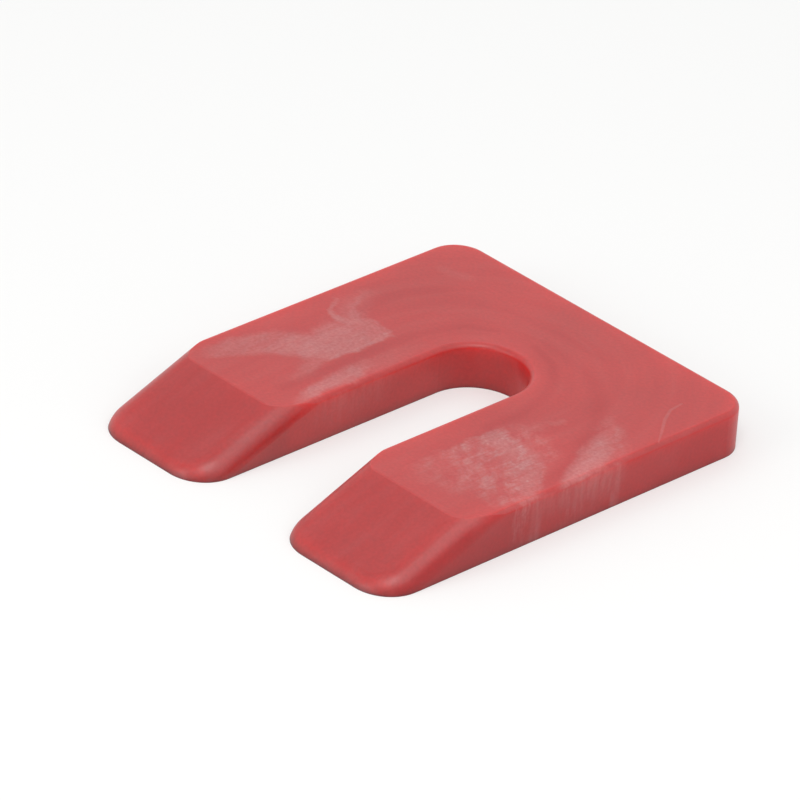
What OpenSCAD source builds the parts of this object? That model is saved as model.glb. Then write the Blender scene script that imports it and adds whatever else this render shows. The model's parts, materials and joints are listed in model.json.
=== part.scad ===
// Packing shim: a flat U-shaped plate with a slot for a bolt and a ramp on the end of each leg.
// The plate lies flat on z = 0 with its legs pointing to -Y, and the origin is under its middle.

/* [Plate] */
// Width across both legs
plate_w = 60; // [50:1:90]
// Length from the back edge to the tips of the legs
plate_l = 70; // [64:1:110]
// Thickness that the shim packs out
plate_t = 7; // [6:0.5:9]
// Radius of the two back corners, seen from above
corner_r = 5; // [2:0.5:8]
// Rounding of the top edges of the plate and its slot
edge_r = 0.8; // [0.4:0.1:1.4]

/* [Slot] */
// Width of the slot, which passes over a bolt
slot_w = 15; // [8:0.5:18]
// Depth of the slot from the tips to the back of its round end
slot_depth = 52.5; // [44:0.5:56]

/* [Ramps] */
// Length of each ramp, from the tip to where the flat top starts
ramp_l = 15; // [13:0.5:17]
// Height of the ramp's flat where it would reach the tip, before rounding
tip_h = 1.2; // [0.8:0.1:1.6]
// Rounding of the ramps' side and front edges
ramp_edge_r = 3.5; // [3:0.25:4]
// Radius of the legs' front corners, seen square to the ramp
tip_r = 6; // [5:0.25:7]
// Rounding of the ridge between the flat top and each ramp
ridge_r = 1; // [0.5:0.25:3]

/* [Hidden] */
$fn = 96;

// Extra length by which one solid runs past another that trims it
past = 5;
// Spare length that keeps two edges apart which must not meet
spare = 1;
// A ramp block's inner side stands this far into the slot, so that it never lies in the slot's wall
hair = 0.01;

leg_w = (plate_w - slot_w) / 2;
front_y = -plate_l / 2;
ridge_y = front_y + ramp_l;
slot_y = front_y + slot_depth - slot_w / 2;
ramp_angle = atan((plate_t - tip_h) / ramp_l);

// The centres of a ramp's rounded edges lie this far straight below its flat
edge_drop = ramp_edge_r / cos(ramp_angle);

// A leg's rounded nose reaches z = 0 exactly at the front. Its centre is nose_y behind the front,
// on a line that slopes with the ramp and has the height nose_h above the front.
nose_h = tip_h - edge_drop;
nose_y = pow(cos(ramp_angle), 2)
    * (sqrt(edge_drop * edge_drop - nose_h * nose_h) - nose_h * tan(ramp_angle));

// From here back a ramp block, rounded edges included, is clear above the plate
clear_y = ridge_y + edge_drop / tan(ramp_angle) + spare;

// Section of a wall from x = 0 outwards, with its outer top edge rounded
module rounded_section(w, h, r) {
    square([w - r, h]);
    square([w, h - r]);
    intersection() {
        square([w, h]);
        translate([w - r, h - r])
            circle(r);
    }
}

// Block centred on x = 0 with its front at y = 0, round corners and rounded top edges
module rounded_block(w, l, h, corner, edge) {
    in_x = w / 2 - corner;
    for (side = [0, 1])
        mirror([side, 0, 0]) {
            for (end = [0, 1])
                translate([in_x, end * l + (1 - 2 * end) * corner, 0])
                    rotate([0, 0, end * 90 - 90])
                        rotate_extrude(angle = 90)
                            rounded_section(corner, h, edge);
            translate([in_x, l - corner, 0])
                rotate([90, 0, 0])
                    linear_extrude(l - 2 * corner)
                        rounded_section(corner, h, edge);
        }
    for (end = [0, 1])
        translate([0, end * l + (1 - 2 * end) * corner, 0])
            rotate([0, 0, end * 180 - 90])
                rotate([90, 0, 0])
                    translate([0, 0, -in_x])
                        linear_extrude(2 * in_x)
                            rounded_section(corner, h, edge);
    translate([-in_x, corner, 0])
        cube([2 * in_x, l - 2 * corner, h]);
}

// Half of the slot's section, flared at the top so that it leaves a rounded edge
module slot_section() {
    translate([0, -past])
        square([slot_w / 2, plate_t + 2 * past]);
    difference() {
        translate([0, plate_t - edge_r])
            square([slot_w / 2 + edge_r, edge_r + past]);
        translate([slot_w / 2 + edge_r, plate_t - edge_r])
            circle(edge_r);
    }
}

// Slot from past the tips to its round end
module slot_cutter() {
    run = slot_y - front_y + past;
    translate([0, slot_y, 0]) {
        rotate_extrude(angle = 180)
            slot_section();
        for (side = [0, 1])
            mirror([side, 0, 0])
                rotate([90, 0, 0])
                    linear_extrude(run)
                        slot_section();
    }
}

// Sloping block that bounds the right leg from above, with rounded side edges and a rounded nose
module ramp_block() {
    block_w = leg_w + hair;
    block_l = plate_l / cos(ramp_angle) + tip_r + past;
    block_h = plate_l;
    translate([(plate_w - block_w) / 2, front_y + nose_y, nose_h + nose_y * tan(ramp_angle)])
        rotate([ramp_angle, 0, 0])
            translate([0, -ramp_edge_r, ramp_edge_r - block_h])
                rounded_block(block_w, block_l, block_h, tip_r, ramp_edge_r);
}

// Block that bounds the middle of the plate behind the slot. Its front stands in the slot.
module web_block() {
    web_w = slot_w + leg_w;
    web_y = (clear_y + slot_y) / 2;
    translate([-web_w / 2, web_y, -past])
        cube([web_w, plate_l, plate_t + 2 * past]);
}

// Cutter along the ridge that leaves it round between the ramps and the flat top
module ridge_cutter() {
    arc_y = ridge_y + ridge_r * tan(ramp_angle / 2);
    square_to_ramp = [-sin(ramp_angle), cos(ramp_angle)];
    square_to_top = [0, 1];
    rotate([90, 0, 90])
        translate([0, 0, -plate_w])
            linear_extrude(2 * plate_w)
                translate([arc_y, plate_t - ridge_r])
                    difference() {
                        polygon([
                            ridge_r * square_to_top,
                            (ridge_r + past) * square_to_top,
                            (ridge_r + past) * square_to_ramp,
                            ridge_r * square_to_ramp
                        ]);
                        circle(ridge_r);
                    }
}

module shim() {
    color("#BE5050")
        difference() {
            intersection() {
                translate([0, front_y - past - corner_r, 0])
                    rounded_block(plate_w, plate_l + past + corner_r, plate_t, corner_r, edge_r);
                union() {
                    for (side = [0, 1])
                        mirror([side, 0, 0])
                            ramp_block();
                    web_block();
                }
            }
            slot_cutter();
            ridge_cutter();
        }
}

shim();
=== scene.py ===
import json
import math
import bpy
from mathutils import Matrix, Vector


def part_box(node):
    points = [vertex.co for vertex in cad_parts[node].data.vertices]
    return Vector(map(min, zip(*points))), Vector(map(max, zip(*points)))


bl_info = {
    "name": "Packing Shim",
    "version": (1, 0, 0),
    "blender": (4, 5, 0),
    "location": "3D View > Sidebar > Packing Shim",
    "description": "Finishes the packing shim as moulded polypropylene and lights it in a studio",
    "category": "Object",
}

from functools import partial

import bpy
from bpy.props import FloatProperty, FloatVectorProperty, PointerProperty
from mathutils import Matrix, Vector

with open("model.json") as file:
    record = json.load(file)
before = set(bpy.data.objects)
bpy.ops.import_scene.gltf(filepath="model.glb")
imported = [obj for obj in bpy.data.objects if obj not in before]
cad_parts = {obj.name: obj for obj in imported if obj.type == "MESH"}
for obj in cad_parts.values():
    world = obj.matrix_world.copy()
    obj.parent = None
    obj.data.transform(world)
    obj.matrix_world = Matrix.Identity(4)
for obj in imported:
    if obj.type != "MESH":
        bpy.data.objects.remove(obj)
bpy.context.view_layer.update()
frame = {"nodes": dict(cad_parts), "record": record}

MM = 0.001
SHIM = "shim"
SHIM_LOW, SHIM_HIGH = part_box(SHIM)
MOUNTS = {mount["name"]: mount for mount in frame["record"]["mounts"]}

# Sizes of the part that the pattern follows, in mm. The slot's end is the centre of its round end,
# which the plastic flowed round when the mould filled.
THICKNESS = SHIM_HIGH[2] / MM
RIGHT_WALL_X = SHIM_HIGH[0] / MM
RAMP_LENGTH = 15
RIDGE_Y = SHIM_LOW[1] / MM + RAMP_LENGTH
SLOT_RADIUS = 7.5
SLOT_END_Y = MOUNTS["bolt_slot"]["pos_m"][1] / MM

SENSOR_WIDTH = 36
FLOOR_GAP = 0.02 * MM

# The softboxes: the setting for its power, degrees round from the camera, degrees above the floor
SOFTBOXES = {
    "key_light": ("key_power", 0, 60),
    "side_light": ("side_power", 57, 47),
    "fill_light": ("fill_power", -60, 26),
    "back_light": ("back_power", 180, 60),
}


def linear(hex_colour):
    """An sRGB hex colour as linear red, green and blue."""
    values = [int(hex_colour[i:i + 2], 16) / 255 for i in (1, 3, 5)]
    return tuple(v / 12.92 if v <= 0.04045 else ((v + 0.055) / 1.055) ** 2.4 for v in values)


def add_node(tree, kind, inputs=None, out=0, **settings):
    """Adds a node with its settings, fills or links its inputs, and returns one of its outputs.

    An input goes by its name, or by its number where several share one name.
    """
    node = tree.nodes.new(kind)
    for name, value in settings.items():
        setattr(node, name, value)
    for name, value in (inputs or {}).items():
        if isinstance(value, bpy.types.NodeSocket):
            tree.links.new(value, node.inputs[name])
        else:
            node.inputs[name].default_value = value
    return node.outputs[out] if node.outputs else node


class ShimFinishSettings(bpy.types.PropertyGroup):
    plastic_colour: FloatVectorProperty(
        name="Plastic", description="Colour of the plain plastic",
        subtype="COLOR", size=3, min=0, max=1, default=linear("#AE2B2A"))
    # Painted shade: the ramps a little darker than the flat top
    ramp_shade_colour: FloatVectorProperty(
        name="Ramps", description="Colour of the plastic on the ramps",
        subtype="COLOR", size=3, min=0, max=1, default=linear("#A42828"))
    # Painted sheen on the ramps' round edges, and painted shade on the slot's right wall
    edge_sheen_and_shade_colour: FloatVectorProperty(
        name="Ramp edges", description="Colour of the ramps' round edges and the slot's right wall",
        subtype="COLOR", size=3, min=0, max=1, default=linear("#A13434"))
    # Painted sheen and painted shade on the plate's rounded top edge
    rim_sheen_and_shade_colour: FloatVectorProperty(
        name="Rim", description="Colour of the plate's rounded top edge",
        subtype="COLOR", size=3, min=0, max=1, default=linear("#9C3636"))
    # Painted shade: a deeper, darker red on the outer walls and under the legs' noses
    wall_shade_colour: FloatVectorProperty(
        name="Walls", description="Colour of the outer walls and under the legs' noses",
        subtype="COLOR", size=3, min=0, max=1, default=linear("#A81719"))
    # Painted shade that deepens on the outer walls toward the legs' tips
    front_wall_shade_colour: FloatVectorProperty(
        name="Front walls", description="Colour that the outer walls take on toward the legs' tips",
        subtype="COLOR", size=3, min=0, max=1, default=linear("#980E10"))
    # Painted light: the slot's walls kept lighter than the outer walls' painted shade
    slot_wall_light_colour: FloatVectorProperty(
        name="Slot walls", description="Colour of the plastic inside the slot",
        subtype="COLOR", size=3, min=0, max=1, default=linear("#AF2827"))
    # Painted shade on the slot's top edge and on its walls between the ramps
    slot_edge_shade_colour: FloatVectorProperty(
        name="Slot edges", description="Colour of the slot's top edge, and of it between the ramps",
        subtype="COLOR", size=3, min=0, max=1, default=linear("#A22A29"))
    smear_colour: FloatVectorProperty(
        name="Smears", description="Colour of the pale smears, where the dye mixed in badly",
        subtype="COLOR", size=3, min=0, max=1, default=linear("#B08A89"))
    line_colour: FloatVectorProperty(
        name="Flow lines", description="Colour of the dark lines left by the flow round the slot",
        subtype="COLOR", size=3, min=0, max=1, default=linear("#A31719"))
    streak_width: FloatProperty(
        name="Streak width", description="Width of the fine streaks",
        subtype="DISTANCE", unit="LENGTH", min=0.0002, max=0.005, default=0.0009)
    streak_length: FloatProperty(
        name="Streak length", description="Length of the fine streaks along the flow",
        subtype="DISTANCE", unit="LENGTH", min=0.0005, max=0.03, default=0.004)
    cloud_size: FloatProperty(
        name="Cloud size", description="Size of the faint clouds in the plain plastic",
        subtype="DISTANCE", unit="LENGTH", min=0.002, max=0.05, default=0.011)
    glow_depth: FloatProperty(
        name="Glow depth", description="How far light runs inside the plastic",
        subtype="DISTANCE", unit="LENGTH", min=0, max=0.03, default=0.008)
    roughness: FloatProperty(
        name="Roughness", description="Roughness of the moulded surface",
        subtype="FACTOR", min=0, max=1, default=0.38)


class StageSettings(bpy.types.PropertyGroup):
    floor_colour: FloatVectorProperty(
        name="Floor", description="Colour of the floor",
        subtype="COLOR", size=3, min=0, max=1, default=linear("#E7E7E6"))
    floor_white: FloatProperty(
        name="Floor white", description="Share of plain white in the floor, free of shadows",
        subtype="FACTOR", min=0, max=1, default=0.3)
    floor_width: FloatProperty(
        name="Floor width", description="Width of the square floor",
        subtype="DISTANCE", unit="LENGTH", min=0.5, max=50, default=12)
    sky: FloatProperty(
        name="Surround", description="Strength of the white surround that lights the part",
        min=0, max=3, default=0.77)
    key_power: FloatProperty(
        name="Key light", description="Power of the softbox above the camera",
        subtype="POWER", unit="POWER", min=0, max=100, default=3.0)
    side_power: FloatProperty(
        name="Side light", description="Power of the softbox on the camera's right",
        subtype="POWER", unit="POWER", min=0, max=100, default=0.9)
    fill_power: FloatProperty(
        name="Fill light", description="Power of the softbox in front of the legs",
        subtype="POWER", unit="POWER", min=0, max=100, default=1.45)
    back_power: FloatProperty(
        name="Back light", description="Power of the softbox behind the part",
        subtype="POWER", unit="POWER", min=0, max=100, default=0.35)
    softbox_width: FloatProperty(
        name="Softbox width", description="Width of each square softbox",
        subtype="DISTANCE", unit="LENGTH", min=0.05, max=3, default=0.45)
    softbox_distance: FloatProperty(
        name="Softbox distance", description="From each softbox to the part",
        subtype="DISTANCE", unit="LENGTH", min=0.1, max=5, default=0.9)
    camera_azimuth: FloatProperty(
        name="Azimuth", description="How far the camera stands round from the front of the legs",
        subtype="ANGLE", unit="ROTATION", default=math.radians(44.834))
    camera_elevation: FloatProperty(
        name="Elevation", description="How far the camera stands above the floor",
        subtype="ANGLE", unit="ROTATION", default=math.radians(29.938))
    camera_roll: FloatProperty(
        name="Roll", description="How far the camera is rolled",
        subtype="ANGLE", unit="ROTATION", default=math.radians(4.181))
    camera_distance: FloatProperty(
        name="Distance", description="From the camera to the point that it looks at",
        subtype="DISTANCE", unit="LENGTH", min=0.2, max=10, default=1.0348)
    camera_aim: FloatVectorProperty(
        name="Aim", description="The point that the camera looks at",
        subtype="XYZ", unit="LENGTH", size=3, default=(-0.004059, -0.000672, 0.004142))
    camera_lens: FloatProperty(
        name="Lens", description="Focal length in millimetres, on a sensor 36 mm wide",
        min=20, max=1000, default=334.1)


# Pale smears, each a soft stroke along points (x, y, radius in mm, strength), with the softness of
# its edge and the straight borders (x, y, heading it lies toward, softness) that cut it
EVEN_SMEARS = {
    "left_leg": (
        [(-17.7, 5.2, 3.4, 0.60), (-18.0, 1.8, 3.9, 0.80), (-18.0, -3.0, 4.0, 0.84),
         (-20.4, -4.6, 3.3, 0.76), (-23.3, -7.8, 2.9, 0.64), (-25.3, -12.2, 2.3, 0.55),
         (-26.1, -15.4, 1.7, 0.40), (-27.0, -19.2, 1.0, 0.08)],
        0.38, [(-14.1, 0, 180, 0.4), (0, 7.8, -90, 0.8)]),
    "left_leg_rim": (
        [(-14.8, 6.6, 0.5, 0.90), (-14.9, -3.8, 0.6, 0.95)], 0.8, [(-14.1, 0, 180, 0.4)]),
    "left_leg_crest": (
        [(-20.8, 6.6, 0.6, 0.60), (-18.5, 8.3, 0.4, 0.45), (-14.5, 7.2, 0.4, 0.55)], 0.9, []),
    "left_leg_low": ([(-15.8, -6.6, 1.5, 0.55), (-13.4, -11.2, 0.9, 0.22)], 0.8, []),
    "left_wisp": (
        [(-27.1, 7.9, 0.4, 0.35), (-25.7, 5.6, 0.5, 0.60), (-23.8, 4.4, 0.6, 0.70),
         (-21.0, 5.0, 1.2, 0.80)], 0.8, []),
    "left_wisp_far": (
        [(-26.0, 12.4, 0.6, 0.25), (-25.2, 10.0, 0.7, 0.45), (-23.8, 7.9, 0.7, 0.55),
         (-20.8, 5.8, 1.3, 0.80)], 0.9, []),
    "left_haze": (
        [(-25.4, 12.0, 1.4, 0.22), (-24.4, 8.4, 1.9, 0.32), (-22.0, 6.6, 1.6, 0.45)], 0.9, []),
    "slot_side": (
        [(-11.2, 2.2, 0.7, 0.12), (-10.6, -0.8, 1.3, 0.45), (-10.1, -3.6, 1.6, 0.74),
         (-9.7, -7.6, 1.5, 0.82), (-9.2, -12.0, 1.1, 0.78), (-8.6, -16.0, 0.8, 0.25)], 0.6, []),
    "slot_side_top": ([(-9.8, 9.0, 0.8, 0.12), (-10.0, -1.0, 1.8, 0.32)], 0.9, []),
    "right_edge": (
        [(23.2, 12.2, 1.4, 0.40), (25.0, 9.0, 2.3, 0.88), (27.0, 5.0, 2.5, 0.95),
         (28.9, 0.6, 1.8, 0.85), (30.2, -2.0, 1.2, 0.60)], 0.5, [(24.3, 7.0, 27.5, 0.6)]),
    "right_leg_core": (
        [(14.6, -0.9, 1.5, 1.0), (17.0, -2.0, 1.8, 0.85)], 0.6, [(13.0, 0, 0, 0.4)]),
    "right_leg_band": (
        [(16.0, -1.8, 2.2, 0.66), (21.6, -1.6, 2.6, 0.70), (25.4, -5.2, 2.2, 0.72),
         (28.8, -7.6, 1.8, 0.66), (30.4, -8.0, 1.1, 0.50)], 0.7, [(26.4, -2.2, 218, 0.8)]),
    "right_wall": ([(30.0, 8.2, 0.6, 0.9)], 0.9, []),
    "pale_spot": ([(17.1, 9.6, 0.7, 0.36), (16.9, 8.4, 0.7, 0.36)], 0.8, []),
    "low_spot": ([(13.8, -8.3, 0.7, 0.42)], 0.9, []),
    "foot_spot": ([(13.9, -13.0, 0.9, 0.28)], 0.9, []),
    "back_dab": ([(-24.0, 26.2, 0.9, 0.22), (-20.0, 27.9, 0.9, 0.22)], 0.9, []),
}

# Smears that break up into soft blotches and streaks, in the same form
BROKEN_SMEARS = {
    "right_leg": (
        [(14.9, -1.6, 3.0, 1.0), (19.0, -2.4, 3.6, 0.92), (23.0, -3.6, 3.6, 0.95),
         (26.4, -6.6, 3.0, 0.92), (29.0, -9.0, 2.0, 0.80), (30.4, -9.6, 1.3, 0.45)],
        0.45, [(13.0, 0, 0, 0.4), (26.4, -2.2, 218, 0.8)]),
    "right_leg_side": (
        [(14.7, -4.6, 2.4, 0.95), (14.4, -9.6, 1.8, 0.62), (14.2, -14.0, 1.4, 0.32)],
        0.7, [(12.9, 0, 0, 0.5)]),
    "right_leg_low": (
        [(17.8, -7.0, 3.2, 0.75), (20.6, -10.2, 3.2, 0.68), (24.2, -10.8, 2.8, 0.72),
         (27.4, -11.4, 1.8, 0.60)], 0.7, []),
    "right_leg_foot": ([(16.4, -14.4, 2.2, 0.36), (21.4, -14.2, 2.2, 0.34)], 0.9, []),
    "right_leg_high": (
        [(16.4, 3.4, 1.8, 0.50), (19.0, 2.4, 2.3, 0.58), (22.6, 1.2, 1.9, 0.55)], 0.8, []),
    "right_leg_tip": ([(16.8, 7.0, 1.0, 0.18), (16.6, 3.8, 1.6, 0.42)], 0.9, []),
    "right_edge_top": (
        [(21.2, 16.0, 0.9, 0.30), (23.4, 12.8, 2.0, 0.62), (26.2, 9.8, 2.3, 0.62)],
        0.8, [(24.3, 7.0, 27.5, 0.6)]),
}

# Smears that only a wall has: the wall's x, then strokes along points (y, z, radius in mm,
# strength), each with its softness
WALL_SMEARS = {
    "right_wall": (RIGHT_WALL_X, [
        ([(8.3, 7.0, 1.0, 0.50), (8.1, 0.5, 0.8, 0.34)], 0.6),
        ([(-4.4, 6.0, 2.4, 0.30), (1.0, 5.8, 2.8, 0.40), (6.2, 5.8, 2.8, 0.46)], 0.9),
        ([(-7.0, 7.0, 1.2, 0.48), (-7.3, 0.5, 0.9, 0.26)], 0.7),
    ]),
    "slot_left_wall": (-SLOT_RADIUS, [
        ([(-16.0, 5.0, 2.0, 0.08), (-9.0, 5.6, 3.0, 0.28), (-2.5, 5.8, 2.8, 0.22),
          (1.0, 6.0, 2.0, 0.06)], 0.9),
    ]),
}

# A pale hair line near the right back corner, x, y, radius in mm, strength, and its softness
HAIR_LINE = (
    [(23.9, 26.7, 0.16, 1), (24.2, 24.2, 0.22, 1), (25.6, 21.7, 0.24, 1), (27.8, 18.9, 0.2, 1),
     (29.4, 16.7, 0.12, 1)], 0.6)

# Dark flow lines, x, y, radius in mm, strength, and the softness of each
FLOW_LINES = {
    "left_of_slot": (
        [(-12.9, -15.0, 0.8, 0.5), (-13.0, 2.0, 1.0, 0.5), (-12.8, 9.4, 0.9, 0.5),
         (-11.7, 13.9, 0.8, 0.5), (-10.0, 17.8, 0.7, 0.5), (-6.7, 20.0, 0.5, 0.4)], 0.8),
    "right_of_slot": (
        [(0.0, 21.2, 0.5, 0.4), (5.0, 19.9, 0.6, 0.5), (8.9, 16.6, 0.8, 0.5),
         (10.9, 12.5, 0.8, 0.5), (12.2, 7.0, 0.9, 0.5), (12.2, 0.5, 0.9, 0.5)], 0.8),
    "outer_right": (
        [(0.0, 23.4, 0.6, 0.3), (8.9, 22.2, 0.9, 0.38), (13.3, 20.6, 1.0, 0.42),
         (16.7, 17.8, 1.1, 0.44), (20.0, 14.4, 1.2, 0.48), (22.2, 10.6, 1.2, 0.5),
         (25.6, 3.9, 1.1, 0.5), (28.9, -3.9, 1.0, 0.5)], 0.9),
    "top": ([(-10.0, 25.5, 0.5, 0.2), (0.0, 26.7, 0.6, 0.28), (9.0, 26.5, 0.5, 0.2)], 0.9),
    "outer_left": (
        [(-13.9, 23.9, 1.0, 0.22), (-19.4, 21.7, 1.2, 0.28), (-22.2, 17.8, 1.2, 0.3),
         (-22.8, 12.8, 1.2, 0.3), (-22.8, 8.9, 1.0, 0.3)], 0.9),
}

# A stroke of one point is drawn as a line of this length, in mm
DOT_LENGTH = 0.01
# How far a wall's own smears reach to both sides of its x, in mm
WALL_REACH = 1.2
# How far the skin of the slot, with its rounded top edge, reaches out from its wall, in mm
SLOT_REACH = 4.0
# The flow round the slot's end is measured on an arc of this radius, in mm
FLOW_RADIUS = 18.0

# Noises that push the smears' borders about: size in mm, detail, and swing from side to side in mm
PUSHES = ((6.25, 1.5, 2.6), (5 / 3, 2.0, 1.6))
# How far the walls' upright streaks swing those borders from side to side, in mm
COMB_SWING = 4.0
# Faint broad bands per mm across the flow, along it and upward: they are some 2.4 mm wide
BANDS_PER_MM = (0.42, 0.06, 0.12)
# Length and width of the soft blotches in mm, and the way that they are turned in degrees
BLOTCH_SIZE = (3.6, 2.0)
BLOTCH_TURN = -35
# Size in mm of the grain in the colour, and of the uneven moulded skin, with its depth
GRAIN_SIZE = 0.5
SKIN_SIZE = 0.625
SKIN_DEPTH = 0.02

# The hair line's strength beside a smear's, and the smears' greatest share in the colour
HAIR_STRENGTH = 0.38
SMEAR_SHARE = 0.52
# Roughness that a smear with the whole colour to itself would add to the skin
DULLER = 0.08

# Map ranges for the noises, by input: values from 1 to 2 become strengths from 3 to 4
EVEN_STREAKS = {1: 0.30, 2: 0.70, 3: 0.66, 4: 1.12}
BROKEN_STREAKS = {1: 0.34, 2: 0.64, 3: 0.52, 4: 1.10}
BLOTCHES = {1: 0.36, 2: 0.64, 3: 0.32, 4: 1.16}
FLECKS = {1: 0.3, 2: 0.7, 3: 0.72, 4: 1.12}
WALL_TEETH = {1: 0.36, 2: 0.62, 3: 0.45, 4: 1.1}
WALL_BRUSH = {1: 0.34, 2: 0.66, 3: 0.55, 4: 1.20}
PALE_BANDS = {1: 0.48, 2: 0.78, 3: 0.0, 4: 0.10}
DARK_BANDS = {1: 0.50, 2: 0.25, 3: 0.0, 4: 0.3}
CLOUD_TONE = {1: 0.3, 2: 0.7, 3: 0.94, 4: 1.06}
GRAIN_TONE = {1: 0.25, 2: 0.75, 3: 0.90, 4: 1.10}
# The same for the smears' strength on a wall, from its top to its foot in mm
WALL_FADE = {1: THICKNESS, 2: 0.0, 3: 0.60, 4: 0.12}

# The skin by how far it faces up, 1 for flat and 0 for a wall: a mask's start and where it is full.
# All but any_wall lay painted shade, painted light and painted sheen into the colour.
FACING_UP = {
    "ramp_shade": (0.99, 0.94),
    "ramp_edge_sheen": (0.92, 0.78),
    "rim_sheen_and_shade": (0.985, 0.88),
    "ramp_wall": (0.75, 0.35),
    "plate_wall": (0.6, 0.15),
    "any_wall": (0.92, 0.2),
    "under_nose_shade": (0.6, 0.2),
}
# Map ranges for masks, by input: 1 is a mask's start and 2 is where it is full. The first two are
# in mm along y, and the others by how far the skin faces back or right, so -1 is front or left.
BEHIND_RIDGE = {1: RIDGE_Y, 2: RIDGE_Y + 2}
# Where the outer walls' painted shade deepens toward the legs' tips
TOWARD_TIPS = {1: 14.0, 2: -16.0}
FACING_FRONT = {1: -0.42, 2: -0.62}
# Where the slot's right wall takes its painted shade
FACING_LEFT = {1: -0.4, 2: -0.8}


def make_stretch_group():
    """A node group that gives one stretch of a smear: a soft mask along a straight line, in mm.

    The width and the strength run evenly from those at the start to those at the end. The nodes
    that work them out don't clamp by their own settings: Cycles puts such clamps off until all the
    stretches have been prepared, and it has no room to hold so many values at once.
    """
    tree = bpy.data.node_groups.new("smear_stretch", "ShaderNodeTree")
    for name in ("Place", "Start", "End"):
        tree.interface.new_socket(name, in_out="INPUT", socket_type="NodeSocketVector")
    for name in ("Start radius", "End radius", "Start strength", "End strength", "Softness"):
        tree.interface.new_socket(name, in_out="INPUT", socket_type="NodeSocketFloat")
    tree.interface.new_socket("Mask", in_out="OUTPUT", socket_type="NodeSocketFloat")
    given = tree.nodes.new("NodeGroupInput").outputs
    result = tree.nodes.new("NodeGroupOutput").inputs
    add = partial(add_node, tree)

    # The foot is the nearest point on the line, and the gap is the distance from there
    start = given["Start"]
    reach = add("ShaderNodeVectorMath", {0: given["Place"], 1: start}, operation="SUBTRACT")
    line = add("ShaderNodeVectorMath", {0: given["End"], 1: start}, operation="SUBTRACT")
    ahead, whole = [
        add("ShaderNodeVectorMath", {0: way, 1: line}, out="Value", operation="DOT_PRODUCT")
        for way in (reach, line)]
    along = add("ShaderNodeMath", {0: ahead, 1: whole}, operation="DIVIDE")
    along = add("ShaderNodeMath", {0: along, 1: 0.0}, operation="MAXIMUM")
    along = add("ShaderNodeMath", {0: along, 1: 1.0}, operation="MINIMUM")
    foot = add("ShaderNodeVectorMath", {0: line, "Scale": along}, operation="SCALE")
    gap = add("ShaderNodeVectorMath", {0: reach, 1: foot}, out="Value", operation="DISTANCE")

    radius, strength = [
        add("ShaderNodeMapRange",
            {"Value": along, 3: given["Start " + measure], 4: given["End " + measure]},
            clamp=False)
        for measure in ("radius", "strength")]
    share = add("ShaderNodeMath", {0: gap, 1: radius}, operation="DIVIDE")
    outside = add("ShaderNodeMath", {0: 1.0, 1: given["Softness"]}, operation="ADD")
    inside = add("ShaderNodeMath", {0: 1.0, 1: given["Softness"]}, operation="SUBTRACT")
    mask = add("ShaderNodeMapRange", {"Value": share, 1: outside, 2: inside},
               interpolation_type="SMOOTHSTEP")
    mask = product(tree, mask, strength)
    tree.links.new(mask, result["Mask"])
    return tree


def strongest(tree, masks):
    """The highest of several masks at each place.

    The masks come one by one from a generator, so that few of them are held at a time: Cycles has
    room for only so many values at once.
    """
    total = 0.0
    for mask in masks:
        total = add_node(tree, "ShaderNodeMath", {0: mask, 1: total}, operation="MAXIMUM")
    return total


def product(tree, first, *others):
    """Several masks multiplied at each place."""
    total = first
    for mask in others:
        total = add_node(tree, "ShaderNodeMath", {0: total, 1: mask}, operation="MULTIPLY")
    return total


def stroke(tree, stretch, place, points, soft):
    """A mask along points (x, y, radius in mm, strength).

    Its edge fades over a share of the radius, to both sides of the radius.
    """
    if len(points) == 1:
        x, y, *rest = points[0]
        points = [points[0], (x + DOT_LENGTH, y, *rest)]
    return strongest(tree, (
        add_node(tree, "ShaderNodeGroup", {
            "Place": place, "Start": (*start[:2], 0), "End": (*end[:2], 0),
            "Start radius": start[2], "End radius": end[2],
            "Start strength": start[3], "End strength": end[3], "Softness": soft,
        }, node_tree=stretch)
        for start, end in zip(points, points[1:])))


def beyond(tree, place, x, y, heading, soft):
    """A mask that is 1 on the side of point (x, y in mm) that the heading in degrees looks at."""
    angle = math.radians(heading)
    toward = (math.cos(angle), math.sin(angle), 0)
    reach = add_node(tree, "ShaderNodeVectorMath", {0: place, 1: toward}, out="Value",
                     operation="DOT_PRODUCT")
    level = x * toward[0] + y * toward[1]
    return add_node(tree, "ShaderNodeMapRange",
                    {"Value": reach, 1: level - soft, 2: level + soft},
                    interpolation_type="SMOOTHSTEP")


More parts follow.
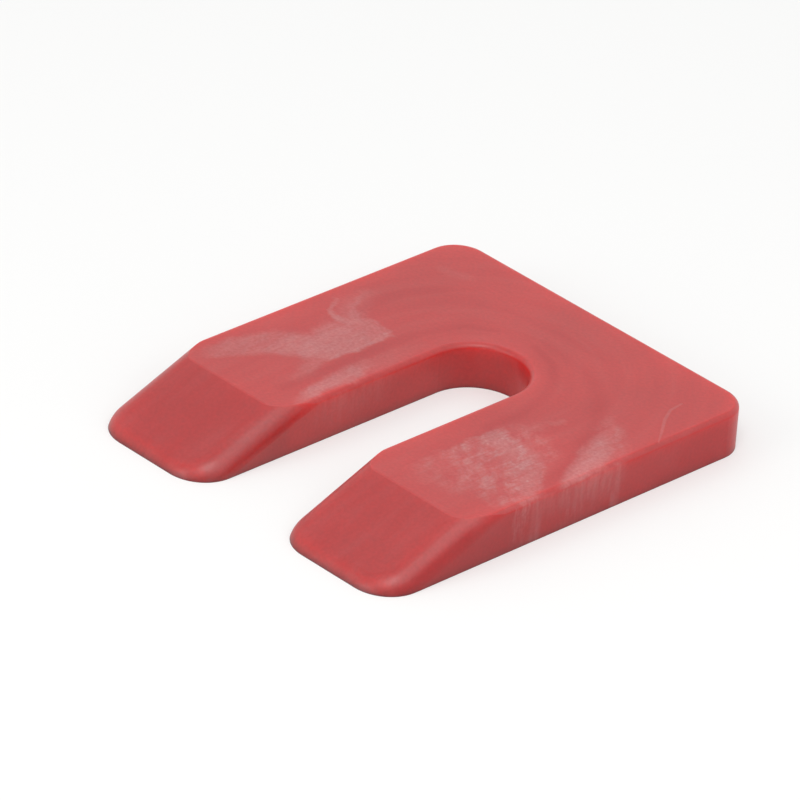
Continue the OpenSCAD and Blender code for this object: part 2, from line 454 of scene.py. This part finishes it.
class PlasticPattern:
    """The pattern in the plastic's colour, built in one node tree. Its lengths are in mm."""

    def __init__(self, tree, settings):
        self.tree = tree
        self.add = partial(add_node, tree)
        self.settings = settings
        self.stretch = make_stretch_group()
        on_part = self.add("ShaderNodeTexCoord", out="Object")
        self.place = self.add("ShaderNodeVectorMath", {0: on_part, "Scale": 1 / MM},
                              operation="SCALE")
        self.x, self.y, self.z = self.add("ShaderNodeSeparateXYZ", {0: self.place}).node.outputs
        loose = self.loosened()
        self.ruled = self.add("ShaderNodeVectorMath", {0: self.place, 1: (1, 1, 0)},
                              operation="MULTIPLY")
        self.find_flow()
        self.make_noises()
        self.loose = self.combed(loose)

    def loosened(self):
        """The place seen from above, pushed about by noise so that no border is drawn straight."""
        add = self.add
        pushes = [
            add("ShaderNodeTexNoise", {"Vector": self.place, "Scale": 1 / size, "Detail": detail},
                out="Color")
            for size, detail, _ in PUSHES]
        pushes = [
            add("ShaderNodeVectorMath", {0: push, 1: (0.5, 0.5, 0.5)}, operation="SUBTRACT")
            for push in pushes]
        loose = self.place
        for push, (_, _, swing) in zip(pushes, PUSHES):
            loose = add("ShaderNodeVectorMath", {0: push, 1: (swing, swing, 0), 2: loose},
                        operation="MULTIPLY_ADD")
        return add("ShaderNodeVectorMath", {0: loose, 1: (1, 1, 0)}, operation="MULTIPLY")

    def find_flow(self):
        """The distance from the slot's middle line or round end, and the place in the flow.

        The flow runs up the right leg, round the slot's end and down the left leg.
        """
        add = self.add
        behind = add("ShaderNodeMath", {0: self.y, 1: SLOT_END_Y}, operation="SUBTRACT")
        back = add("ShaderNodeMath", {0: behind, 1: 0.0}, operation="MAXIMUM")
        front = add("ShaderNodeMath", {0: behind, 1: 0.0}, operation="MINIMUM")
        off_middle = add("ShaderNodeCombineXYZ", {0: self.x, 1: back, 2: 0.0})
        self.across = add("ShaderNodeVectorMath", {0: off_middle}, out="Value",
                          operation="LENGTH")
        turn = add("ShaderNodeMath", {0: back, 1: self.x}, operation="ARCTAN2")
        side = add("ShaderNodeMath", {0: self.x}, operation="SIGN")
        leg = product(self.tree, side, front)
        along = add("ShaderNodeMath", {0: turn, 1: FLOW_RADIUS, 2: leg},
                    operation="MULTIPLY_ADD")
        self.flow = add("ShaderNodeCombineXYZ", {0: self.across, 1: along, 2: self.z})

    def make_noises(self):
        """Fine streaks and broad bands along the flow, clouds, grain, and drips down the walls."""
        add = self.add
        narrow, long = MM / self.settings.streak_width, MM / self.settings.streak_length
        streaks = add("ShaderNodeVectorMath", {0: self.flow, 1: (narrow, long, long)},
                      operation="MULTIPLY")
        streaks = add("ShaderNodeTexNoise",
                      {"Vector": streaks, "Scale": 1.0, "Detail": 3.0, "Distortion": 1.2},
                      out="Fac")
        bands = add("ShaderNodeVectorMath", {0: self.flow, 1: BANDS_PER_MM},
                    operation="MULTIPLY")
        self.bands = add("ShaderNodeTexNoise",
                         {"Vector": bands, "Scale": 1.0, "Detail": 2.0, "Distortion": 0.3},
                         out="Fac")
        self.clouds = add(
            "ShaderNodeTexNoise",
            {"Vector": self.place, "Scale": MM / self.settings.cloud_size, "Detail": 3.0},
            out="Fac")
        self.grain = add("ShaderNodeTexNoise",
                         {"Vector": self.place, "Scale": 1 / GRAIN_SIZE, "Detail": 3.0},
                         out="Fac")
        drips = add("ShaderNodeVectorMath", {0: self.place, 1: (narrow, narrow, long)},
                    operation="MULTIPLY")
        self.drips = add("ShaderNodeTexNoise", {"Vector": drips, "Scale": 1.0, "Detail": 2.0},
                         out="Fac")
        normal = add("ShaderNodeTexCoord", out="Normal")
        normal = add("ShaderNodeSeparateXYZ", {0: normal})
        self.faces_right, self.faces_back, self.faces_up = normal.node.outputs
        self.wall = self.facing("any_wall")
        self.streaks = add("ShaderNodeMix", {"Factor": self.wall, 2: streaks, 3: self.drips},
                           data_type="FLOAT")

    def facing(self, name):
        """One of the masks by how far the skin faces up."""
        start, full = FACING_UP[name]
        return self.add("ShaderNodeMapRange", {"Value": self.faces_up, 1: start, 2: full},
                        interpolation_type="SMOOTHSTEP")

    def combed(self, loose):
        """The same place, drawn out into upright streaks where it is on a wall."""
        comb = self.add("ShaderNodeMath", {0: self.drips, 1: 0.5}, operation="SUBTRACT")
        comb = product(self.tree, comb, self.wall, COMB_SWING)
        comb = self.add("ShaderNodeCombineXYZ", {1: comb})
        return self.add("ShaderNodeVectorMath", {0: loose, 1: comb}, operation="ADD")

    def cut_strokes(self, smears):
        """The masks of smears one by one, each cut at its borders."""
        for points, soft, borders in smears.values():
            mask = stroke(self.tree, self.stretch, self.loose, points, soft)
            for border in borders:
                mask = product(self.tree, mask, beyond(self.tree, self.loose, *border))
            yield mask

    def pale(self):
        """How much of the smears' colour shows at each place."""
        add, tree = self.add, self.tree
        even, broken = [
            strongest(tree, self.cut_strokes(smears)) for smears in (EVEN_SMEARS, BROKEN_SMEARS)]
        streaks = add("ShaderNodeMapRange", {"Value": self.streaks, **EVEN_STREAKS})
        even = product(tree, streaks, even)
        blotches = add("ShaderNodeMapping",
                       {"Vector": self.ruled, "Rotation": (0, 0, math.radians(BLOTCH_TURN)),
                        "Scale": (*BLOTCH_SIZE, 1)}, vector_type="TEXTURE")
        blotches = add("ShaderNodeTexNoise",
                       {"Vector": blotches, "Scale": 1.0, "Detail": 4.0, "Roughness": 0.62},
                       out="Fac")
        blotches = add("ShaderNodeMapRange", {"Value": blotches, **BLOTCHES},
                       interpolation_type="SMOOTHSTEP")
        streaks = add("ShaderNodeMapRange", {"Value": self.streaks, **BROKEN_STREAKS},
                      interpolation_type="SMOOTHSTEP")
        broken = product(tree, streaks, blotches, broken)
        smear = add("ShaderNodeMath", {0: even, 1: broken}, operation="MAXIMUM")
        flecks = add("ShaderNodeMapRange", {"Value": self.grain, **FLECKS})
        smear = self.on_walls_too(product(tree, smear, flecks))

        bands = add("ShaderNodeMapRange", {"Value": self.bands, **PALE_BANDS})
        smear = add("ShaderNodeMath", {0: smear, 1: bands}, operation="ADD")
        hair = stroke(tree, self.stretch, self.ruled, *HAIR_LINE)
        hair = product(tree, hair, HAIR_STRENGTH)
        smear = add("ShaderNodeMath", {0: smear, 1: hair}, operation="MAXIMUM")
        return add("ShaderNodeMath", {0: smear, 1: SMEAR_SHARE}, operation="MULTIPLY",
                   use_clamp=True)

    def on_walls_too(self, smear):
        """The smears made fainter down the walls, with those added that only the walls have."""
        add, tree = self.add, self.tree
        depth = add("ShaderNodeMapRange", {"Value": self.z, **WALL_FADE})
        teeth = add("ShaderNodeMapRange", {"Value": self.drips, **WALL_TEETH})
        depth = product(tree, depth, teeth)
        fade = add("ShaderNodeMapRange", {"Value": self.wall, 3: 1.0, 4: depth})
        smear = product(tree, smear, fade)
        on_wall = add("ShaderNodeCombineXYZ", {0: self.y, 1: self.z})
        brush = add("ShaderNodeMapRange", {"Value": self.drips, **WALL_BRUSH})
        brush = product(tree, brush, self.wall)
        for wall_x, smears in WALL_SMEARS.values():
            here = add("ShaderNodeMath", {0: self.x, 1: wall_x, 2: WALL_REACH},
                       operation="COMPARE")
            here = product(tree, here, brush)
            mask = strongest(tree, (
                stroke(tree, self.stretch, on_wall, points, soft) for points, soft in smears))
            mask = product(tree, mask, here)
            smear = add("ShaderNodeMath", {0: smear, 1: mask}, operation="MAXIMUM")
        return smear

    def dark(self):
        """How much of the flow lines' colour shows at each place."""
        lines = strongest(self.tree, (
            stroke(self.tree, self.stretch, self.ruled, points, soft)
            for points, soft in FLOW_LINES.values()))
        bands = self.add("ShaderNodeMapRange", {"Value": self.bands, **DARK_BANDS})
        return self.add("ShaderNodeMath", {0: lines, 1: bands}, operation="ADD", use_clamp=True)

    def painted_shading(self):
        """Masks and colours of painted shade, painted light and painted sheen by the way the skin
        faces, each laid over those before it.
        """
        add, colours = self.add, self.settings
        joined = partial(product, self.tree)
        on_plate = add("ShaderNodeMapRange", {"Value": self.y, **BEHIND_RIDGE})
        on_ramps = add("ShaderNodeMath", {0: 1.0, 1: on_plate}, operation="SUBTRACT")
        in_slot = add("ShaderNodeMath", {0: self.across, 1: SLOT_RADIUS + SLOT_REACH},
                      operation="LESS_THAN")
        off_slot = add("ShaderNodeMath", {0: 1.0, 1: in_slot}, operation="SUBTRACT")
        nose = add("ShaderNodeMapRange", {"Value": self.faces_back, **FACING_FRONT},
                   interpolation_type="SMOOTHSTEP")
        nose = joined(nose, on_ramps)
        off_nose = add("ShaderNodeMath", {0: 1.0, 1: nose}, operation="SUBTRACT")
        # Painted shade: the ramps a little darker than the flat top
        ramp_shade = joined(self.facing("ramp_shade"), off_nose)
        # Painted sheen: the ramps' round edges paler and greyer
        ramp_edge_sheen = joined(self.facing("ramp_edge_sheen"), off_nose)
        # Painted sheen and painted shade on the plate's rounded top edge
        rim_sheen_and_shade = joined(self.facing("rim_sheen_and_shade"), on_plate)
        upright = add(
            "ShaderNodeMix",
            {"Factor": on_plate, 2: self.facing("ramp_wall"), 3: self.facing("plate_wall")},
            data_type="FLOAT")
        # Painted shade: the outer walls a deeper, darker red
        outer_wall_shade = joined(upright, off_nose, off_slot)
        # Painted shade, deeper still toward the legs' tips
        front_wall_shade = joined(outer_wall_shade,
                            add("ShaderNodeMapRange", {"Value": self.y, **TOWARD_TIPS}))
        # Painted shade on the slot's top edge and on its walls between the ramps
        slot_rim_shade = joined(rim_sheen_and_shade, in_slot)
        slot_upright = joined(upright, in_slot)
        # Painted light: the slot's walls lighter than the outer walls
        slot_wall_light = joined(slot_upright, on_plate)
        slot_front_wall_shade = joined(slot_upright, on_ramps, off_nose)
        # Painted shade: the slot's right wall darker
        slot_right_wall_shade = joined(
            add("ShaderNodeMapRange", {"Value": self.faces_right, **FACING_LEFT}), slot_wall_light)
        # Painted shade under the legs' noses
        under_nose_shade = joined(nose, self.facing("under_nose_shade"))
        return (
            (ramp_shade, colours.ramp_shade_colour),
            (ramp_edge_sheen, colours.edge_sheen_and_shade_colour),
            (rim_sheen_and_shade, colours.rim_sheen_and_shade_colour),
            (outer_wall_shade, colours.wall_shade_colour),
            (front_wall_shade, colours.front_wall_shade_colour),
            (slot_rim_shade, colours.slot_edge_shade_colour),
            (slot_wall_light, colours.slot_wall_light_colour),
            (slot_front_wall_shade, colours.slot_edge_shade_colour),
            (slot_right_wall_shade, colours.edge_sheen_and_shade_colour),
            (under_nose_shade, colours.wall_shade_colour),
        )

    def colour(self, pale, dark):
        """The plastic's colour with its painted shade, painted light and painted sheen by the way
        the skin faces, and pale smears and dark lines where the two masks have them.
        """
        add, settings = self.add, self.settings
        colour = (*settings.plastic_colour, 1)
        layers = (*self.painted_shading(), (pale, settings.smear_colour), (dark, settings.line_colour))
        for mask, tint in layers:
            colour = add("ShaderNodeMix", {"Factor": mask, 6: colour, 7: (*tint, 1)}, out=2,
                         data_type="RGBA")
        tone = add("ShaderNodeMapRange", {"Value": self.clouds, **CLOUD_TONE})
        speck = add("ShaderNodeMapRange", {"Value": self.grain, **GRAIN_TONE})
        tone = product(self.tree, tone, speck)
        return add("ShaderNodeVectorMath", {0: colour, "Scale": tone}, operation="SCALE")


def polypropylene(settings):
    """Injection-moulded red polypropylene with badly mixed dye.

    To the eye: a satin skin that mirrors the room as a pale haze, pale smears and darker lines that
    run round the slot the way the melt flowed, and a deeper red where light runs inside thin edges.
    Painted shade, painted light and painted sheen by the way the skin faces are laid into the
    colour.
    """
    material = bpy.data.materials.new("moulded_polypropylene")
    material.use_nodes = True
    tree = material.node_tree
    tree.nodes.clear()
    pattern = PlasticPattern(tree, settings)
    pale = pattern.pale()
    colour = pattern.colour(pale, pattern.dark())

    # The skin: satin from the mould, a little duller where the dye is badly mixed
    rough = add_node(tree, "ShaderNodeMapRange",
                     {"Value": pale, 3: settings.roughness, 4: settings.roughness + DULLER})
    skin = add_node(tree, "ShaderNodeTexNoise",
                    {"Vector": pattern.place, "Scale": 1 / SKIN_SIZE, "Detail": 3.0}, out="Fac")
    bump = add_node(tree, "ShaderNodeBump",
                    {"Height": skin, "Strength": 0.35, "Distance": SKIN_DEPTH * MM})
    shader = add_node(tree, "ShaderNodeBsdfPrincipled", {
        "Base Color": colour,
        "Roughness": rough,
        "Normal": bump,
        "Metallic": 0.0,
        "IOR": 1.52,
        "Subsurface Weight": 1.0,
        "Subsurface Radius": (1.0, 0.1, 0.08),
        "Subsurface Scale": settings.glow_depth,
    })
    add_node(tree, "ShaderNodeOutputMaterial", {"Surface": shader})
    return material


def seen_directly(tree):
    """A mask for what the camera sees straight, mirrored or through glass, not for the lighting."""
    rays = add_node(tree, "ShaderNodeLightPath").node.outputs
    seen = add_node(tree, "ShaderNodeMath",
                    {0: rays["Is Camera Ray"], 1: rays["Is Glossy Ray"]}, operation="MAXIMUM")
    return add_node(tree, "ShaderNodeMath", {0: seen, 1: rays["Is Transmission Ray"]},
                    operation="MAXIMUM")


def studio_floor(settings):
    """Matt white paper: to the eye a plain white ground that only keeps a faint shadow."""
    material = bpy.data.materials.new("white_paper")
    material.use_nodes = True
    tree = material.node_tree
    tree.nodes.clear()
    seen = seen_directly(tree)
    paper = add_node(tree, "ShaderNodeBsdfDiffuse", {"Color": (*settings.floor_colour, 1)})
    white = add_node(tree, "ShaderNodeEmission", {"Color": (1, 1, 1, 1), "Strength": 1.0})
    share = product(tree, seen, settings.floor_white)
    mixed = add_node(tree, "ShaderNodeMixShader", {0: share, 1: paper, 2: white})
    add_node(tree, "ShaderNodeOutputMaterial", {"Surface": mixed})
    return material


def direction(azimuth, elevation):
    """The way to an azimuth, which is measured from the front of the legs, and an elevation."""
    level = math.cos(elevation)
    return Vector((math.sin(azimuth) * level, -math.cos(azimuth) * level, math.sin(elevation)))


class PACKINGSHIM_OT_finish_shim(bpy.types.Operator):
    """Gives the shim its moulded plastic"""

    bl_idname = "packing_shim.finish_shim"
    bl_label = "Finish the shim"

    def execute(self, context):
        shim = frame["nodes"].get(SHIM)
        if shim is None:
            raise RuntimeError("The frame has no node named " + SHIM)
        material = polypropylene(context.scene.shim_finish)
        for material_slot in shim.material_slots:
            material_slot.material = material
        return {"FINISHED"}


class PACKINGSHIM_OT_build_stage(bpy.types.Operator):
    """Adds the floor, the white surround, the softboxes and the camera"""

    bl_idname = "packing_shim.build_stage"
    bl_label = "Build the stage"

    def execute(self, context):
        settings = context.scene.shim_stage
        self.add_floor(context, settings)
        self.add_surround(context, settings)
        self.add_softboxes(context, settings)
        self.add_camera(context, settings)
        context.scene.view_settings.view_transform = "Standard"
        return {"FINISHED"}

    def add_floor(self, context, settings):
        half = settings.floor_width / 2
        corners = [(-half, -half, 0), (half, -half, 0), (half, half, 0), (-half, half, 0)]
        mesh = bpy.data.meshes.new("floor")
        mesh.from_pydata(corners, [], [(0, 1, 2, 3)])
        mesh.materials.append(studio_floor(settings))
        floor = bpy.data.objects.new("floor", mesh)
        floor.location.z = SHIM_LOW[2] - FLOOR_GAP
        context.scene.collection.objects.link(floor)

    def add_surround(self, context, settings):
        world = bpy.data.worlds.new("white_surround")
        world.use_nodes = True
        tree = world.node_tree
        tree.nodes.clear()
        seen = seen_directly(tree)
        strength = add_node(tree, "ShaderNodeMapRange", {"Value": seen, 3: settings.sky, 4: 1.0})
        white = add_node(tree, "ShaderNodeBackground",
                         {"Color": (1, 1, 1, 1), "Strength": strength})
        add_node(tree, "ShaderNodeOutputWorld", {"Surface": white})
        context.scene.world = world

    def add_softboxes(self, context, settings):
        for name, (power, turn, height) in SOFTBOXES.items():
            lamp = bpy.data.lights.new(name, "AREA")
            lamp.shape = "SQUARE"
            lamp.size = settings.softbox_width
            lamp.energy = getattr(settings, power)
            toward = direction(settings.camera_azimuth + math.radians(turn),
                               math.radians(height))
            softbox = bpy.data.objects.new(name, lamp)
            softbox.location = toward * settings.softbox_distance
            softbox.rotation_mode = "QUATERNION"
            softbox.rotation_quaternion = (-toward).to_track_quat("-Z", "Y")
            softbox.visible_camera = False
            context.scene.collection.objects.link(softbox)

    def add_camera(self, context, settings):
        azimuth, roll = settings.camera_azimuth, settings.camera_roll
        back = direction(azimuth, settings.camera_elevation)
        level = Vector((math.cos(azimuth), math.sin(azimuth), 0))
        right = math.cos(roll) * level + math.sin(roll) * back.cross(level)
        turned = Matrix((right, back.cross(right), back)).transposed().to_4x4()
        stand = Vector(settings.camera_aim) + back * settings.camera_distance
        lens = bpy.data.cameras.new("camera")
        lens.sensor_width = SENSOR_WIDTH
        lens.lens = settings.camera_lens
        lens.clip_start = 0.05
        lens.clip_end = 100
        camera = bpy.data.objects.new("camera", lens)
        camera.matrix_world = Matrix.Translation(stand) @ turned
        context.scene.collection.objects.link(camera)
        context.scene.camera = camera


class PACKINGSHIM_PT_panel(bpy.types.Panel):
    """Lists the steps that make the scene, with their settings"""

    bl_idname = "PACKINGSHIM_PT_panel"
    bl_label = "Packing Shim"
    bl_space_type = "VIEW_3D"
    bl_region_type = "UI"
    bl_category = "Packing Shim"

    def draw(self, context):
        for operator, settings in (
            (PACKINGSHIM_OT_finish_shim, context.scene.shim_finish),
            (PACKINGSHIM_OT_build_stage, context.scene.shim_stage),
        ):
            box = self.layout.box()
            box.operator(operator.bl_idname)
            for name in settings.__annotations__:
                box.prop(settings, name)


CLASSES = (
    ShimFinishSettings,
    StageSettings,
    PACKINGSHIM_OT_finish_shim,
    PACKINGSHIM_OT_build_stage,
    PACKINGSHIM_PT_panel,
)


def register():
    for cls in CLASSES:
        bpy.utils.register_class(cls)
    bpy.types.Scene.shim_finish = PointerProperty(type=ShimFinishSettings)
    bpy.types.Scene.shim_stage = PointerProperty(type=StageSettings)


def unregister():
    del bpy.types.Scene.shim_stage
    del bpy.types.Scene.shim_finish
    for cls in reversed(CLASSES):
        bpy.utils.unregister_class(cls)


def main():
    register()
    bpy.ops.packing_shim.finish_shim()
    bpy.ops.packing_shim.build_stage()


if __name__ == "__main__":
    main()
